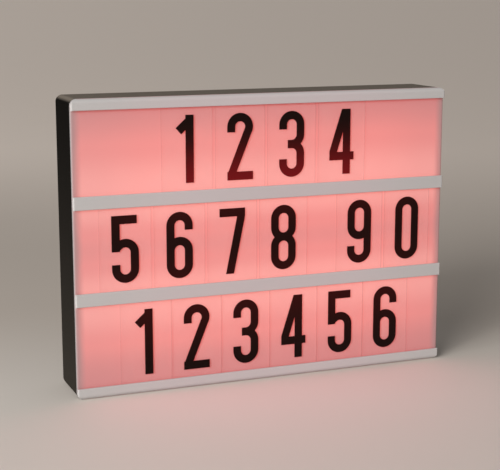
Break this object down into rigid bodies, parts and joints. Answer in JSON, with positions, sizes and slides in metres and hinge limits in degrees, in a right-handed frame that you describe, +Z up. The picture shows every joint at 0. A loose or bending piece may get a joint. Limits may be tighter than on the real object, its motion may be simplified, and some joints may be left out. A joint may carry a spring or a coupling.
{
  "type": "cinema light box",
  "caption": "Lit letter board in a black case with white rails, clear number tiles that slide in them, a battery door, a switch and a button.",
  "frame": {"origin": "on the ground, under the middle of the box", "axes": "+X to the viewer's right along the rails, +Y from the lit front to the back, +Z up"},
  "size_m": [0.3, 0.05, 0.22],
  "materials": {
    "case_black": "fine-grained moulded black plastic",
    "panel_opal": "opal white plastic lit from behind in warm pink",
    "rail_white": "satin opaque white plastic",
    "reflector_white": "matte white film",
    "board_white": "white solder mask",
    "lamp_resin": "cast resin with phosphor",
    "board_green": "green solder mask on glass fibre",
    "component_black": "moulded black plastic",
    "socket_cream": "cream nylon",
    "switch_steel": "tinned steel shell",
    "knob_black": "satin black plastic with grip grooves",
    "button_grey": "satin light grey plastic",
    "screw_steel": "zinc-plated steel",
    "contact_nickel": "nickel-plated spring steel",
    "lead_sheath": "soft insulated wire",
    "cell_can": "plain printed sleeve with bare metal ends",
    "tile_clear": "clear flexible plastic sheet, printed with plain numerals"
  },
  "bodies": {
    "box": {"rear_case": "case_black", "front_panel": "panel_opal", "rail_top": "rail_white", "rail_upper": "rail_white", "rail_lower": "rail_white", "rail_bottom": "rail_white", "reflector_sheet": "reflector_white", "lamp_board_upper": "board_white", "lamp_board_lower": "board_white", "lamps_upper": "lamp_resin", "lamps_lower": "lamp_resin", "control_board": "board_green", "driver_chip": "component_black", "smoothing_capacitor": "component_black", "lead_sockets": "socket_cream", "power_switch_body": "switch_steel", "colour_switch_body": "component_black", "power_inlet": "component_black", "power_inlet_pin": "contact_nickel", "case_screws": "screw_steel", "board_screws": "screw_steel", "contact_plates": "contact_nickel", "contact_springs": "contact_nickel", "battery_leads": "lead_sheath", "lamp_leads": "lead_sheath", "battery_cell_1": "cell_can", "battery_cell_2": "cell_can", "battery_cell_3": "cell_can", "battery_cell_4": "cell_can", "battery_cell_5": "cell_can", "battery_cell_6": "cell_can"},
    "battery_door": {"battery_door": "case_black"},
    "power_switch_knob": {"power_switch_knob": "knob_black"},
    "colour_button": {"colour_button": "button_grey"},
    "tile_top_1": {"tile_top_1": "tile_clear"},
    "tile_top_2": {"tile_top_2": "tile_clear"},
    "tile_top_3": {"tile_top_3": "tile_clear"},
    "tile_top_4": {"tile_top_4": "tile_clear"},
    "tile_middle_1": {"tile_middle_1": "tile_clear"},
    "tile_middle_2": {"tile_middle_2": "tile_clear"},
    "tile_middle_3": {"tile_middle_3": "tile_clear"},
    "tile_middle_4": {"tile_middle_4": "tile_clear"},
    "tile_middle_5": {"tile_middle_5": "tile_clear"},
    "tile_middle_6": {"tile_middle_6": "tile_clear"},
    "tile_bottom_1": {"tile_bottom_1": "tile_clear"},
    "tile_bottom_2": {"tile_bottom_2": "tile_clear"},
    "tile_bottom_3": {"tile_bottom_3": "tile_clear"},
    "tile_bottom_4": {"tile_bottom_4": "tile_clear"},
    "tile_bottom_5": {"tile_bottom_5": "tile_clear"},
    "tile_bottom_6": {"tile_bottom_6": "tile_clear"}
  },
  "joints": [
    {"name": "battery_door_hinge", "type": "hinge", "parent": "box", "child": "battery_door", "pos_m": [0, 0.023, 0.01628], "axis": [-1, 0, 0], "range_deg": [0, 90]},
    {"name": "power_switch_slide", "type": "slide", "parent": "box", "child": "power_switch_knob", "axis": [1, 0, 0], "range_m": [-0.003, 0]},
    {"name": "colour_button_press", "type": "slide", "parent": "box", "child": "colour_button", "axis": [0, -1, 0], "range_m": [0, 0.0005], "stiffness_N_per_m": 50},
    {"name": "tile_top_1_slide", "type": "slide", "parent": "box", "child": "tile_top_1", "axis": [1, 0, 0], "range_m": [-0.066, 0.068]},
    {"name": "tile_top_2_slide", "type": "slide", "parent": "box", "child": "tile_top_2", "axis": [1, 0, 0], "range_m": [-0.066, 0.068]},
    {"name": "tile_top_3_slide", "type": "slide", "parent": "box", "child": "tile_top_3", "axis": [1, 0, 0], "range_m": [-0.066, 0.068]},
    {"name": "tile_top_4_slide", "type": "slide", "parent": "box", "child": "tile_top_4", "axis": [1, 0, 0], "range_m": [-0.066, 0.068]},
    {"name": "tile_middle_1_slide", "type": "slide", "parent": "box", "child": "tile_middle_1", "axis": [1, 0, 0], "range_m": [-0.018, 0.012]},
    {"name": "tile_middle_2_slide", "type": "slide", "parent": "box", "child": "tile_middle_2", "axis": [1, 0, 0], "range_m": [-0.018, 0.012]},
    {"name": "tile_middle_3_slide", "type": "slide", "parent": "box", "child": "tile_middle_3", "axis": [1, 0, 0], "range_m": [-0.018, 0.012]},
    {"name": "tile_middle_4_slide", "type": "slide", "parent": "box", "child": "tile_middle_4", "axis": [1, 0, 0], "range_m": [-0.018, 0.012]},
    {"name": "tile_middle_5_slide", "type": "slide", "parent": "box", "child": "tile_middle_5", "axis": [1, 0, 0], "range_m": [-0.012, 0.011]},
    {"name": "tile_middle_6_slide", "type": "slide", "parent": "box", "child": "tile_middle_6", "axis": [1, 0, 0], "range_m": [-0.012, 0.011]},
    {"name": "tile_bottom_1_slide", "type": "slide", "parent": "box", "child": "tile_bottom_1", "axis": [1, 0, 0], "range_m": [-0.033, 0.028]},
    {"name": "tile_bottom_2_slide", "type": "slide", "parent": "box", "child": "tile_bottom_2", "axis": [1, 0, 0], "range_m": [-0.033, 0.028]},
    {"name": "tile_bottom_3_slide", "type": "slide", "parent": "box", "child": "tile_bottom_3", "axis": [1, 0, 0], "range_m": [-0.033, 0.028]},
    {"name": "tile_bottom_4_slide", "type": "slide", "parent": "box", "child": "tile_bottom_4", "axis": [1, 0, 0], "range_m": [-0.033, 0.028]},
    {"name": "tile_bottom_5_slide", "type": "slide", "parent": "box", "child": "tile_bottom_5", "axis": [1, 0, 0], "range_m": [-0.033, 0.028]},
    {"name": "tile_bottom_6_slide", "type": "slide", "parent": "box", "child": "tile_bottom_6", "axis": [1, 0, 0], "range_m": [-0.033, 0.028]}
  ],
  "couplings": [
    {"joint": "tile_top_2_slide", "follows": "tile_top_1_slide", "ratio": 1},
    {"joint": "tile_top_3_slide", "follows": "tile_top_1_slide", "ratio": 1},
    {"joint": "tile_top_4_slide", "follows": "tile_top_1_slide", "ratio": 1},
    {"joint": "tile_middle_2_slide", "follows": "tile_middle_1_slide", "ratio": 1},
    {"joint": "tile_middle_3_slide", "follows": "tile_middle_1_slide", "ratio": 1},
    {"joint": "tile_middle_4_slide", "follows": "tile_middle_1_slide", "ratio": 1},
    {"joint": "tile_middle_6_slide", "follows": "tile_middle_5_slide", "ratio": 1},
    {"joint": "tile_bottom_2_slide", "follows": "tile_bottom_1_slide", "ratio": 1},
    {"joint": "tile_bottom_3_slide", "follows": "tile_bottom_1_slide", "ratio": 1},
    {"joint": "tile_bottom_4_slide", "follows": "tile_bottom_1_slide", "ratio": 1},
    {"joint": "tile_bottom_5_slide", "follows": "tile_bottom_1_slide", "ratio": 1},
    {"joint": "tile_bottom_6_slide", "follows": "tile_bottom_1_slide", "ratio": 1}
  ]
}
